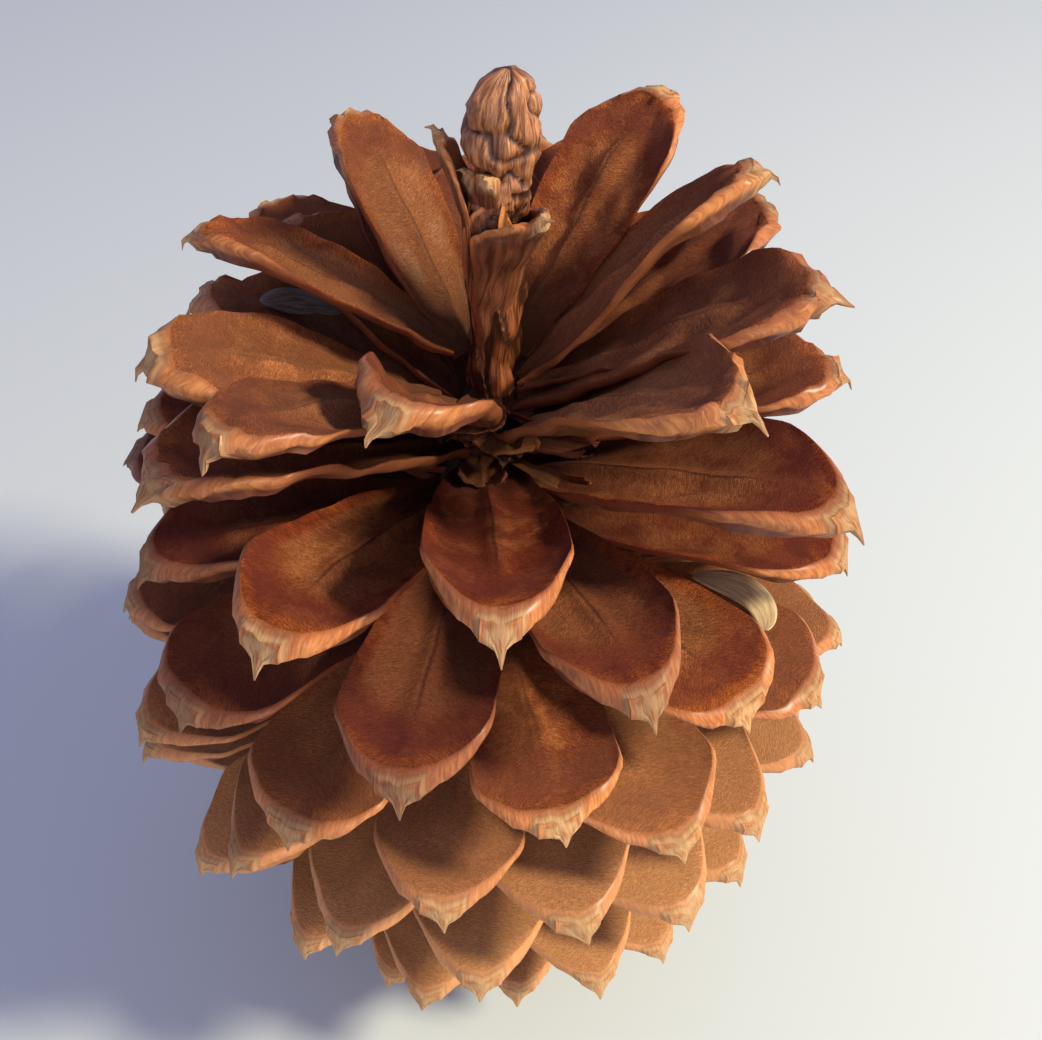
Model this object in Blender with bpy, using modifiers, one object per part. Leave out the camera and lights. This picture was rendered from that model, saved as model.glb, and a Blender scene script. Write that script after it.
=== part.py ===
"""Open pine cone of the jeffrey pine, standing on its base.

The cone grew as one woody piece: an axis with scales set round it in a golden-angle spiral,
each ending in a turned-down face with a sharp prickle, and a spike of closed scales on top.
Two papery seed wings are still lodged between scales, each a piece of its own.

Units are metres, +Z is up along the axis. The origin is the middle of the flat stem scar that
the cone stands on, and the side with the best scales faces -Y.
"""

import math
import random

import bmesh
import bpy
from mathutils import Matrix, Vector

MM = 0.001

# Driving sizes of the whole cone
FIRST_SCALE = -24
LAST_SCALE = 101
GOLDEN_ANGLE = 137.45
FIRST_AZIMUTH = 2.0
AXIS_BOW = -2.5 * MM
BOW_TOP = 165 * MM

# The cone's growth from the tip down to the base. Each line is a scale's number in the spiral,
# its outer edge's distance from the axis and height, the height of its root, and its half width.
GROWTH = (
    (-26, 32.0, 172.0, 141.0, 8.0),
    (-20, 40.0, 172.0, 139.5, 9.6),
    (-10, 49.5, 167.0, 134.0, 10.4),
    (0, 57.5, 149.0, 126.0, 10.6),
    (10, 60.5, 129.0, 116.0, 11.0),
    (25, 64.0, 104.0, 100.0, 11.8),
    (40, 65.0, 84.0, 84.5, 11.8),
    (55, 62.5, 64.0, 68.5, 11.4),
    (70, 55.0, 44.0, 51.0, 10.8),
    (85, 43.5, 27.0, 34.0, 9.8),
    (95, 33.0, 17.5, 22.0, 8.4),
    (102, 24.0, 12.0, 14.0, 7.0),
)
FULL_HALF_WIDTH = 11.8 * MM

# How far single scales stray from the pattern, either way
AZIMUTH_STRAY = 1.5
RADIUS_STRAY = 0.015
HEIGHT_STRAY = 1.0
WIDTH_STRAY = 0.05
TWIST_STRAY = 5.0
SWEEP_STRAY = 1.5
FIRST_SEED = 1000

# One scale, from its root in the axis (0) to its outer edge (1): place along the blade, half
# width as a share of the widest, height of the upper face and thickness in millimetres.
STATIONS = (
    (0.13, 0.22, 0.0, 2.8),
    (0.75, 1.00, 0.0, 3.0),
    (0.92, 0.90, 0.0, 6.4),
    (1.00, 0.42, -4.6, 2.8),
)
NOSE = 0.02
BLADE_CURVE = 6.0
BLADE_CUP = 0.6
UMBO_SHARE = 0.3
PRICKLE_LENGTH = 5.0 * MM
PRICKLE_DIP = 50.0
UMBO_INSET = 0.1 * MM

# Scales that sit off the pattern, as they dried: changes to what the rule gives them.
ODD_SCALES = {
    -24: {"azimuth": -100.0, "radius": 6.5, "height": 184.0, "half_width": 4.0},
    -23: {"azimuth": 42.0, "radius": 8.5, "height": 175.0, "half_width": 5.2, "cup": 5.0},
    -22: {"radius": 36.0, "height": 174.5, "half_width": 8.0, "twist": 12.0},
    -20: {"azimuth": 139.5, "radius": 39.5, "height": 178.0},
    -19: {"azimuth": -94.0, "radius": 44.0, "height": 168.0, "half_width": 8.6, "twist": 10.0,
          "root": 145.0},
    -17: {"radius": 37.0, "height": 163.0},
    -16: {"azimuth": -40.0, "radius": 54.0, "height": 166.0, "half_width": 9.2, "twist": 6.0},
    -15: {"radius": 38.0, "height": 178.0, "half_width": 8.5, "twist": -28.0},
    -14: {"radius": 40.0, "height": 158.0},
    -12: {"radius": 46.0, "height": 165.0},
    -11: {"radius": 50.5, "height": 161.5},
    -10: {"radius": 48.0, "height": 174.0, "half_width": 11.0, "twist": 14.0},
    -9: {"radius": 46.0, "height": 163.0},
    -8: {"azimuth": -22.0, "radius": 36.0, "height": 165.0, "half_width": 9.6, "cup": 3.5,
         "twist": -16.0},
    -6: {"radius": 46.0, "height": 154.0},
    -5: {"azimuth": 38.0, "radius": 51.0, "height": 172.0, "half_width": 10.2, "twist": 12.0},
    -3: {"radius": 57.0, "height": 153.5, "half_width": 10.8},
    -2: {"radius": 54.0, "height": 150.0},
    2: {"radius": 53.0, "height": 142.0},
    3: {"radius": 61.5, "height": 150.5, "half_width": 11.4},
    8: {"azimuth": 24.0, "half_width": 10.4},
    10: {"radius": 57.0, "height": 127.5},
    11: {"radius": 61.5, "height": 122.5},
    13: {"radius": 63.5, "height": 120.5},
    21: {"azimuth": 12.0, "radius": 62.5, "height": 109.0},
    23: {"radius": 60.5},
}

# Scales that snapped off close to the axis and left a stub
BROKEN_SCALES = (-21, -18, -13)
STUB_RADIUS = 16.0
STUB_HALF_WIDTH = 5.0
STUB_CLIMB = 4.0

# The woody axis: radius and height down its outside, from under the spike to the stem scar
AXIS_PROFILE = ((0, 149), (5, 147), (8, 141), (9, 125), (10, 95), (11.5, 55), (13, 20), (13, 0))
AXIS_SIDES = 16
CRISP_ANGLE = 40.0

# The spike of closed scales on top: height, radius across, radius in depth, lean to the right
SPIKE = (
    (138, 5.5, 5.5, 0.0),
    (154, 3.0, 3.2, 0.0),
    (165, 4.6, 4.2, 0.8),
    (174, 5.2, 4.6, 1.4),
    (182, 5.4, 4.9, 1.5),
    (188, 5.5, 5.0, 1.6),
    (192.5, 3.8, 3.4, 1.9),
    (194.5, 1.5, 1.5, 2.1),
)
SPIKE_SIDES = 8

# Seed wings left in the cone: the scale that each lies on, then the start, bend and end of its
# curved middle line over that scale's face, as distances along and across it in millimetres
SEED_WINGS = {
    "seed_wing_right": (24, (37.0, 9.5), (50.0, 13.5), (52.5, 4.0)),
    "seed_wing_left": (-6, (27.0, -7.0), (33.0, -5.5), (37.5, 1.0)),
}
WING_HALF_WIDTH = 2.8
WING_THICKNESS = 0.8 * MM
WING_GAP = 0.5 * MM
WING_ROWS = 6
BLUNT_END = 0.06

WOOD_COLOUR = (0.23, 0.085, 0.038, 1.0)
WOOD_ROUGHNESS = 0.62
WING_ROUGHNESS = 0.5
WING_COLOUR = (0.42, 0.34, 0.19, 1.0)


def growth_at(number):
    """Read the growth lines at one scale: radius, height, root height and half width."""
    for low, high in zip(GROWTH, GROWTH[1:]):
        if number <= high[0]:
            share = (number - low[0]) / (high[0] - low[0])
            return [a + (b - a) * share for a, b in zip(low[1:], high[1:])]
    return list(GROWTH[-1][1:])


def scale_habit(number):
    """Return how one scale grew, in metres and radians."""
    radius, height, root, half_width = growth_at(number)
    draw = random.Random(FIRST_SEED + number)

    def stray(most):
        return draw.uniform(-most, most)

    habit = {
        "azimuth": FIRST_AZIMUTH + GOLDEN_ANGLE * number + stray(AZIMUTH_STRAY),
        "radius": radius * (1 + stray(RADIUS_STRAY)),
        "height": height + stray(HEIGHT_STRAY),
        "root": root,
        "curve": BLADE_CURVE,
        "cup": BLADE_CUP,
        "half_width": half_width * (1 + stray(WIDTH_STRAY)),
        "twist": stray(TWIST_STRAY),
        "sweep": stray(SWEEP_STRAY),
    }
    habit.update(ODD_SCALES.get(number, {}))
    if number in BROKEN_SCALES:
        stub = {"radius": STUB_RADIUS, "height": root + STUB_CLIMB, "half_width": STUB_HALF_WIDTH}
        habit.update(stub)
    for key in ("azimuth", "curve", "twist"):
        habit[key] = math.radians(habit[key])
    for key in ("radius", "height", "root", "cup", "half_width", "sweep"):
        habit[key] *= MM
    return habit


def blade_frame(habit, along):
    """Return the blade's place and directions at a share of its length from the axis.

    The blade's middle line is an arc in the upright plane through the axis. It leaves the
    axis steeper than its chord by the curve angle and ends flatter by the same angle.
    """
    climb = habit["height"] - habit["root"]
    chord = math.hypot(habit["radius"], climb)
    rise = math.atan2(climb, habit["radius"])
    curve = habit["curve"]
    slope = rise + curve * (1 - 2 * along)
    half_arc = chord / (2 * math.sin(curve))
    out = half_arc * (math.sin(rise + curve) - math.sin(slope))
    up = habit["root"] + half_arc * (math.cos(slope) - math.cos(rise + curve))
    forward = Vector((0, -math.cos(slope), math.sin(slope)))
    side = Matrix.Rotation(habit["twist"] * along, 3, forward) @ Vector((1, 0, 0))
    place = Vector((0, -out, up)) + side * habit["sweep"] * along * along
    return place, side, forward, forward.cross(side)


def axis_offset(height):
    """Return how far the bowed axis stands off the upright at a height."""
    share = min(max(height / BOW_TOP, 0), 1)
    return Vector((AXIS_BOW * math.sin(math.pi * share), 0, 0))


def blade_point(habit, along, across, height):
    """Place a point of the scale: along 0 to 1, across and height in metres."""
    place, side, forward, normal = blade_frame(habit, along)
    cup = habit["cup"] * along * (across / habit["half_width"]) ** 2
    point = place + side * across + normal * (height + cup)
    return Matrix.Rotation(habit["azimuth"], 3, "Z") @ point + axis_offset(point.z)


def make_block(columns, rows, place):
    """Make a closed block from a grid and its extruded underside, each corner set by place.

    place takes the corner's share across (-1 to 1), its row and whether it is underneath.
    Returns the block and the corners of its last row.
    """
    block = bmesh.new()
    bmesh.ops.create_grid(block, x_segments=columns, y_segments=rows, size=1.0)
    skin = bmesh.ops.extrude_face_region(block, geom=block.faces[:])
    under = {item for item in skin["geom"] if isinstance(item, bmesh.types.BMVert)}
    last = set()
    for vert in block.verts:
        row = round((vert.co.y + 1) / 2 * rows)
        if row == rows:
            last.add(vert)
        vert.co = place(vert.co.x, row, vert in under)
    return block, last


def finish_block(block, name):
    """Turn a block's faces outward and give it to a new object."""
    bmesh.ops.recalc_face_normals(block, faces=block.faces)
    bmesh.ops.triangulate(block, faces=block.faces)
    mesh = bpy.data.meshes.new(name)
    block.to_mesh(mesh)
    block.free()
    return bpy.data.objects.new(name, mesh)


def make_scale(number):
    """Model one scale as a block, then draw its end out into the prickle."""
    habit = scale_habit(number)
    size = habit["half_width"] / FULL_HALF_WIDTH

    def place(across, row, is_under):
        along, share, top, thickness = STATIONS[row]
        if row == len(STATIONS) - 1:
            along += NOSE * (1 - abs(across))
        height = (top - (thickness if is_under else 0)) * size * MM
        return blade_point(habit, along, across * share * habit["half_width"], height)

    block, end = make_block(2, len(STATIONS) - 1, place)
    if number not in BROKEN_SCALES:
        draw_prickle(block, habit, end, size)
    return finish_block(block, "scale")


def draw_prickle(block, habit, end, size):
    """Join the end's two faces, shrink an inset of them to the umbo and pull out its point."""
    joined = bmesh.utils.face_join([face for face in block.faces if set(face.verts) <= end])
    bmesh.ops.inset_region(block, faces=[joined], thickness=UMBO_INSET)
    centre = joined.calc_center_median()
    for vert in joined.verts:
        vert.co = centre + (vert.co - centre) * UMBO_SHARE
    point = bmesh.ops.poke(block, faces=[joined])["verts"][0]
    forward, normal = blade_frame(habit, 1.0)[2:]
    dip = math.radians(PRICKLE_DIP)
    way = forward * math.cos(dip) - normal * math.sin(dip)
    point.co += Matrix.Rotation(habit["azimuth"], 3, "Z") @ way * PRICKLE_LENGTH * size


def make_axis():
    """Turn the axis from its profile and bow it as the scales' roots are."""
    mesh = bpy.data.meshes.new("axis")
    points = [(radius * MM, 0, height * MM) for radius, height in AXIS_PROFILE]
    points.append((0, 0, 0))
    mesh.from_pydata(points, [(i, i + 1) for i in range(len(points) - 1)], [])
    axis = bpy.data.objects.new("axis", mesh)
    bpy.context.scene.collection.objects.link(axis)
    screw = axis.modifiers.new("turn", "SCREW")
    screw.steps = screw.render_steps = AXIS_SIDES
    screw.use_merge_vertices = True
    screw.merge_threshold = 0.01 * MM
    apply_modifiers(axis)
    for vert in axis.data.vertices:
        vert.co += axis_offset(vert.co.z)
    return axis


def make_spike():
    """Stack extruded rings of the spike's sections, closed at both ends."""
    block = bmesh.new()
    ring = bmesh.ops.create_circle(block, cap_ends=True, segments=SPIKE_SIDES, radius=1.0)["verts"]
    corners = [vert.co.copy() for vert in ring]
    cap = block.faces[:][0]
    for index, (height, wide, deep, lean) in enumerate(SPIKE):
        if index:
            skin = bmesh.ops.extrude_face_region(block, geom=[cap])["geom"]
            inner = cap
            cap = next(item for item in skin if isinstance(item, bmesh.types.BMFace))
            ring = list(cap.verts)
            if index > 1:
                bmesh.ops.delete(block, geom=[inner], context="FACES_ONLY")
        for vert, corner in zip(ring, corners):
            vert.co = Vector((lean + corner.x * wide, corner.y * deep, height)) * MM
    return finish_block(block, "spike")


def apply_modifiers(item):
    """Replace an object's mesh by what its modifiers make of it."""
    graph = bpy.context.evaluated_depsgraph_get()
    mesh = bpy.data.meshes.new_from_object(item.evaluated_get(graph))
    item.modifiers.clear()
    item.data = mesh


def fuse(body, repeats):
    """Join a collection's solids to a body with one Boolean union and remove them."""
    union = body.modifiers.new("grow together", "BOOLEAN")
    union.operation = "UNION"
    union.operand_type = "COLLECTION"
    union.collection = repeats
    union.solver = "EXACT"
    apply_modifiers(body)
    for item in list(repeats.objects):
        bpy.data.objects.remove(item)
    bpy.data.collections.remove(repeats)


def islands(mesh):
    """Return the separate shells of a mesh as lists of faces, largest first."""
    left = set(mesh.faces)
    shells = []
    while left:
        front = [left.pop()]
        shell = list(front)
        while front:
            near = {other for edge in front.pop().edges for other in edge.link_faces} & left
            left -= near
            front += near
            shell += near
        shells.append(shell)
    return sorted(shells, key=len, reverse=True)


def keep_one_body(item):
    """Fill hollows that the union sealed and drop scraps: only the outer shell stays."""
    body = bmesh.new()
    body.from_mesh(item.data)
    bmesh.ops.triangulate(body, faces=body.faces)
    for shell in islands(body)[1:]:
        bmesh.ops.delete(body, geom=shell, context="FACES")
    body.to_mesh(item.data)
    body.free()


def make_wing(name):
    """Model one papery seed wing as a thin crescent over its scale's upper face."""
    number, *corners = SEED_WINGS[name]
    start, bend, end = (Vector(corner) for corner in corners)
    habit = scale_habit(number)

    def place(across, row, is_under):
        share = row / WING_ROWS
        middle = start * (1 - share) ** 2 + bend * 2 * share * (1 - share) + end * share**2
        way = ((bend - start) * (1 - share) + (end - bend) * share).normalized()
        width = across * WING_HALF_WIDTH * math.sqrt(max(BLUNT_END, 1 - (2 * share - 1) ** 2))
        along, aside = (middle + Vector((way.y, -way.x)) * width) * MM
        height = WING_GAP + (0 if is_under else WING_THICKNESS)
        return blade_point(habit, along / habit["radius"], aside, height)

    return finish_block(make_block(2, WING_ROWS, place)[0], name)


def make_material(name, colour, roughness):
    material = bpy.data.materials.new(name)
    material.use_nodes = True
    shader = material.node_tree.nodes["Principled BSDF"]
    shader.inputs["Base Color"].default_value = colour
    shader.inputs["Roughness"].default_value = roughness
    shader.inputs["Metallic"].default_value = 0.0
    return material


def main():
    for item in list(bpy.data.objects):
        bpy.data.objects.remove(item)
    part = bpy.data.collections.new("pine_cone")
    bpy.context.scene.collection.children.link(part)

    repeats = bpy.data.collections.new("scales")
    bpy.context.scene.collection.children.link(repeats)
    for number in range(FIRST_SCALE, LAST_SCALE + 1):
        repeats.objects.link(make_scale(number))
    repeats.objects.link(make_spike())
    cone = make_axis()
    cone.name = "cone"
    fuse(cone, repeats)
    keep_one_body(cone)
    bpy.context.scene.collection.objects.unlink(cone)
    part.objects.link(cone)
    cone.data.materials.append(make_material("cone_wood", WOOD_COLOUR, WOOD_ROUGHNESS))
    cone.data.shade_smooth()
    cone.data.set_sharp_from_angle(angle=math.radians(CRISP_ANGLE))

    paper = make_material("wing_paper", WING_COLOUR, WING_ROUGHNESS)
    for name in SEED_WINGS:
        wing = make_wing(name)
        part.objects.link(wing)
        wing.data.materials.append(paper)


main()
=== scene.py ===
# %% [markdown]
# # An open pine cone, standing on its base
#
# A pine cone is one woody thing: an axis, and a spiral of scales that opened as they dried.
# We load its plain solid as a fixed frame, model one good scale, and set a bent, toned copy of
# it on every place of the spiral. A closed spike, broken stubs and two seed wings follow.

# %% Load the frame
import math
import random

import bpy
import numpy as np
from mathutils import Matrix, Vector, noise


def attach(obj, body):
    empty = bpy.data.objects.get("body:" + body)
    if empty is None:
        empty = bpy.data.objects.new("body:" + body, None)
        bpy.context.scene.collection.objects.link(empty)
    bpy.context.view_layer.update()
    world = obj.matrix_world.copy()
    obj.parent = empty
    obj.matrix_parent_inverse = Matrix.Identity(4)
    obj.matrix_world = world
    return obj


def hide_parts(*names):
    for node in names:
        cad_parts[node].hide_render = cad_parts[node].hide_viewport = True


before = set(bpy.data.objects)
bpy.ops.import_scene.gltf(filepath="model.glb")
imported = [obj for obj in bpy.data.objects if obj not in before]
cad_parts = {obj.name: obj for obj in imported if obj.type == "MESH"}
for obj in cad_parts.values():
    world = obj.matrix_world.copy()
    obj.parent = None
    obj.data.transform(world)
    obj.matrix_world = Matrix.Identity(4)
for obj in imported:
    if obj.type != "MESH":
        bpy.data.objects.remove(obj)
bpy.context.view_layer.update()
print("nodes in the frame:", sorted(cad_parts))

# %% [markdown]
# ## The camera
#
# The cone is seen from above its front, at about 43 degrees, with a normal lens. We build the
# camera's matrix from those angles, so that every later step can be judged in the real view.

# %% Set the camera
MM = 0.001
CAMERA_PLACE = Vector((3.6, -179.7, 278.4)) * MM
CAMERA_PITCH = math.radians(43)
CAMERA_YAW = math.radians(0.4)
CAMERA_ROLL = math.radians(-0.8)
CAMERA_LENS = 48.37

ahead = Vector((
    math.sin(CAMERA_YAW) * math.cos(CAMERA_PITCH),
    math.cos(CAMERA_YAW) * math.cos(CAMERA_PITCH),
    -math.sin(CAMERA_PITCH),
))
level = Vector((math.cos(CAMERA_YAW), -math.sin(CAMERA_YAW), 0))
above = level.cross(ahead)
right = level * math.cos(CAMERA_ROLL) - above * math.sin(CAMERA_ROLL)
up = level * math.sin(CAMERA_ROLL) + above * math.cos(CAMERA_ROLL)
turn = Matrix((right, up, -ahead)).transposed()

camera = bpy.data.objects.new("camera", bpy.data.cameras.new("camera"))
bpy.context.scene.collection.objects.link(camera)
camera.data.lens = CAMERA_LENS
camera.data.sensor_width = 36
camera.data.clip_start = 0.01
camera.matrix_world = Matrix.Translation(CAMERA_PLACE) @ turn.to_4x4()
bpy.context.scene.camera = camera
print("camera stands", round(CAMERA_PLACE.length, 3), "m from the stem scar")

# %% [markdown]
# ## The floor and the light
#
# A pale floor lies under the cone. One warm lamp stands high on the right, a dim wide one low
# in front lifts the lower scales, and a soft bluish sky fills the shadows. Area lamps are used
# because their size softens the shadow's edge as a window does.

# %% Make a plain material for the floor
def plain_material(name, colour, roughness):
    material = bpy.data.materials.new(name)
    material.use_nodes = True
    shader = material.node_tree.nodes["Principled BSDF"]
    shader.inputs["Base Color"].default_value = (*colour, 1)
    shader.inputs["Roughness"].default_value = roughness
    return material


bpy.ops.object.select_all(action="DESELECT")
bpy.ops.mesh.primitive_plane_add(size=6, location=(0, 0, 0))
floor = bpy.context.object
floor.name = "floor"
floor.data.materials.append(plain_material("pale_paper", (0.66, 0.68, 0.65), 0.9))

# %% Hang the lamps
def hang_lamp(name, place, size, power, colour):
    data = bpy.data.lights.new(name, "AREA")
    data.shape = "DISK"
    data.size = size
    data.energy = power
    data.color = colour
    lamp = bpy.data.objects.new(name, data)
    lamp.location = place
    lamp.rotation_euler = (Vector((0, 0, 0.10)) - lamp.location).to_track_quat("-Z", "Y").to_euler()
    bpy.context.scene.collection.objects.link(lamp)


hang_lamp("key_lamp", Vector((0.88, -0.26, 0.86)), 0.2, 18.5, (1.0, 0.96, 0.74))
hang_lamp("fill_lamp", Vector((0.15, -1.1, 0.42)), 0.7, 3.3, (1.0, 0.95, 0.84))
world = bpy.data.worlds.new("studio")
bpy.context.scene.world = world
world.use_nodes = True
sky = world.node_tree.nodes["Background"]
sky.inputs["Color"].default_value = (0.54, 0.585, 1.0, 1)
sky.inputs["Strength"].default_value = 0.55
bpy.context.scene.view_settings.view_transform = "Standard"

# %% [markdown]
# ## How the cone grew
#
# Scales follow each other round the axis at the golden angle, 137.45 degrees, so that none
# stands right above the next. Down the cone they first widen, then shrink towards the stem.
# The numbers are those of the plain solid, so that every copy lies where its solid lies.

# %% Write down the growth
GOLDEN_ANGLE = 137.45
FIRST_AZIMUTH = 2.0
FIRST_SCALE = -24
LAST_SCALE = 101
AXIS_BOW = -2.5 * MM
BOW_TOP = 165 * MM
FULL_HALF_WIDTH = 11.8
FULL_LENGTH = 62.0
BLADE_CURVE = 6.0
BLADE_CUP = 0.6
# Number of the scale, then reach from the axis, height, root height and half width in mm
GROWTH = (
    (-26, 32.0, 172.0, 141.0, 8.0),
    (-20, 40.0, 172.0, 139.5, 9.6),
    (-10, 49.5, 167.0, 134.0, 10.4),
    (0, 57.5, 149.0, 126.0, 10.6),
    (10, 60.5, 129.0, 116.0, 11.0),
    (25, 64.0, 104.0, 100.0, 11.8),
    (40, 65.0, 84.0, 84.5, 11.8),
    (55, 62.5, 64.0, 68.5, 11.4),
    (70, 55.0, 44.0, 51.0, 10.8),
    (85, 43.5, 27.0, 34.0, 9.8),
    (95, 33.0, 17.5, 22.0, 8.4),
    (102, 24.0, 12.0, 14.0, 7.0),
)
# Scales that dried out of line: what they changed
ODD_SCALES = {
    -24: {"azimuth": -100.0, "radius": 6.5, "height": 184.0, "half_width": 4.0},
    -23: {"azimuth": 42.0, "radius": 8.5, "height": 175.0, "half_width": 5.2, "cup": 5.0},
    -22: {"radius": 36.0, "height": 174.5, "half_width": 8.0, "twist": 12.0},
    -20: {"azimuth": 139.5, "radius": 39.5, "height": 178.0},
    -19: {"azimuth": -94.0, "radius": 44.0, "height": 168.0, "half_width": 8.6, "twist": 10.0,
          "root": 145.0},
    -17: {"radius": 37.0, "height": 163.0},
    -16: {"azimuth": -40.0, "radius": 54.0, "height": 166.0, "half_width": 9.2, "twist": 6.0},
    -15: {"radius": 38.0, "height": 178.0, "half_width": 8.5, "twist": -28.0},
    -14: {"radius": 40.0, "height": 158.0},
    -12: {"radius": 46.0, "height": 165.0},
    -11: {"radius": 50.5, "height": 161.5},
    -10: {"radius": 48.0, "height": 174.0, "half_width": 11.0, "twist": 14.0},
    -9: {"radius": 46.0, "height": 163.0},
    -8: {"azimuth": -22.0, "radius": 36.0, "height": 165.0, "half_width": 9.6, "cup": 3.5,
         "twist": -16.0},
    -6: {"radius": 46.0, "height": 154.0},
    -5: {"azimuth": 38.0, "radius": 51.0, "height": 172.0, "half_width": 10.2, "twist": 12.0},
    -3: {"radius": 57.0, "height": 153.5, "half_width": 10.8},
    -2: {"radius": 54.0, "height": 150.0},
    2: {"radius": 53.0, "height": 142.0},
    3: {"radius": 61.5, "height": 150.5, "half_width": 11.4},
    8: {"azimuth": 24.0, "half_width": 10.4},
    10: {"radius": 57.0, "height": 127.5},
    11: {"radius": 61.5, "height": 122.5},
    13: {"radius": 63.5, "height": 120.5},
    21: {"azimuth": 12.0, "radius": 62.5, "height": 109.0},
    23: {"radius": 60.5},
}
BROKEN_SCALES = (-21, -18, -13)
STUB_RADIUS = 16.0
STUB_HALF_WIDTH = 5.0
STUB_CLIMB = 4.0
print("scales in the spiral:", LAST_SCALE - FIRST_SCALE + 1)

# %% Work out one scale's habit
def growth_at(number):
    """Read the growth lines at one scale: reach, height, root height and half width."""
    for low, high in zip(GROWTH, GROWTH[1:]):
        if number <= high[0]:
            share = (number - low[0]) / (high[0] - low[0])
            return [a + (b - a) * share for a, b in zip(low[1:], high[1:])]
    return list(GROWTH[-1][1:])


def scale_habit(number):
    """Return how one scale grew, in millimetres and radians."""
    radius, height, root, half_width = growth_at(number)
    draw = random.Random(1000 + number)
    habit = {
        "azimuth": FIRST_AZIMUTH + GOLDEN_ANGLE * number + draw.uniform(-1.5, 1.5),
        "radius": radius * draw.uniform(0.985, 1.015),
        "height": height + draw.uniform(-1, 1),
        "root": root,
        "curve": BLADE_CURVE,
        "cup": BLADE_CUP,
        "half_width": half_width * draw.uniform(0.95, 1.05),
        "twist": draw.uniform(-5, 5),
        "sweep": draw.uniform(-1.5, 1.5),
    }
    habit.update(ODD_SCALES.get(number, {}))
    for key in ("azimuth", "curve", "twist"):
        habit[key] = math.radians(habit[key])
    return habit


front = scale_habit(0)
print("the front scale reaches", round(front["radius"], 1), "mm at height", round(front["height"], 1))

# %% [markdown]
# ## Bend a flat scale to its place
#
# The master scale is flat: x runs across it, y from its root to its edge, z is its height.
# Its middle line becomes an arc in the upright plane through the axis, its sides cup a little,
# and it is turned to its own side of the cone. There is no bend operator without a window, so
# the corners are moved in code, all at once, with arrays.

# %% Bend points along a habit
TIP_STRETCH = 1.15


def bend_points(flat, habit):
    """Move flat points (mm) to where the habit puts them on the cone (m)."""
    size = habit["half_width"] / FULL_HALF_WIDTH
    climb = habit["height"] - habit["root"]
    chord = math.hypot(habit["radius"], climb)
    rise = math.atan2(climb, habit["radius"])
    curve = habit["curve"]
    stretch = min(max(FULL_LENGTH * size / chord, 1.0), TIP_STRETCH)
    along = 1 - (1 - flat[:, 1] / FULL_LENGTH) * stretch
    across = flat[:, 0] * size
    height = flat[:, 2] * size
    height = height + habit["cup"] * np.clip(along, 0, 1) * (flat[:, 0] / FULL_HALF_WIDTH) ** 2

    slope = rise + curve * (1 - 2 * along)
    half_arc = chord / (2 * math.sin(curve))
    out = half_arc * (math.sin(rise + curve) - np.sin(slope))
    lift = habit["root"] + half_arc * (np.cos(slope) - math.cos(rise + curve))
    forward = np.stack([np.zeros_like(slope), -np.cos(slope), np.sin(slope)], 1)
    roll = habit["twist"] * along
    flat_normal = np.stack([np.zeros_like(slope), np.sin(slope), np.cos(slope)], 1)
    east = np.array([1.0, 0.0, 0.0])
    side = east * np.cos(roll)[:, None] + flat_normal * np.sin(roll)[:, None]
    normal = np.cross(forward, side)
    place = np.stack([np.zeros_like(out), -out, lift], 1)
    place += side * (across + habit["sweep"] * along * along)[:, None]
    place += normal * height[:, None]

    turn_cos, turn_sin = math.cos(habit["azimuth"]), math.sin(habit["azimuth"])
    x = place[:, 0] * turn_cos - place[:, 1] * turn_sin
    y = place[:, 0] * turn_sin + place[:, 1] * turn_cos
    bow = np.sin(np.pi * np.clip(place[:, 2] * MM / BOW_TOP, 0, 1)) * AXIS_BOW
    return np.stack([x * MM + bow, y * MM, place[:, 2] * MM], 1)


tip = bend_points(np.array([[0.0, FULL_LENGTH, 0.0]]), front)[0]
print("the front scale's tip in mm:", np.round(tip / MM, 1))

# %% [markdown]
# ## One scale, flat
#
# An open scale is a blade that widens from its root to a thick lip, the apophysis, with a
# small boss on it, the umbo, that ends in a sharp prickle. A grid pulled down in five steps
# gives a closed block with rings round its side, and those rings carry the lip's profile.
# Each corner keeps its place in the grid as an attribute, which the finish reads later.

# %% Pull a grid down into a block
COLUMNS = 20
ROWS = 24
RINGS = 5

bpy.ops.object.select_all(action="DESELECT")
bpy.ops.mesh.primitive_grid_add(x_subdivisions=COLUMNS, y_subdivisions=ROWS, size=2)
master = bpy.context.object
master.name = "master_scale"
bpy.ops.object.mode_set(mode="EDIT")
bpy.ops.mesh.select_mode(type="FACE")
bpy.ops.mesh.select_all(action="SELECT")
for ring in range(RINGS):
    bpy.ops.mesh.extrude_region_move(TRANSFORM_OT_translate={"value": (0, 0, -1)})
bpy.ops.mesh.select_all(action="SELECT")
bpy.ops.mesh.normals_make_consistent(inside=False)
bpy.ops.object.mode_set(mode="OBJECT")
print("corners in the block:", len(master.data.vertices))

# %% Read and write a mesh as arrays
def read_points(item):
    flat = np.empty(len(item.data.vertices) * 3)
    item.data.vertices.foreach_get("co", flat)
    return flat.reshape(-1, 3)


def write_points(item, points):
    item.data.vertices.foreach_set("co", np.asarray(points, dtype=float).ravel())
    item.data.update()


def keep_vectors(item, name, vectors):
    """Store one vector for every corner, for the finish to read."""
    layer = item.data.attributes.get(name)
    layer = layer or item.data.attributes.new(name, "FLOAT_VECTOR", "POINT")
    layer.data.foreach_set("vector", np.asarray(vectors, dtype=float).ravel())


def ease(low, high, value):
    """Rise smoothly from 0 at low to 1 at high."""
    share = np.clip((value - low) / (high - low), 0, 1)
    return share * share * (3 - 2 * share)


grid = read_points(master)
across = grid[:, 0]
along = (grid[:, 1] + 1) / 2
depth = np.round(-grid[:, 2]).astype(int)
print("rings found:", sorted(set(depth.tolist())))

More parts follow.
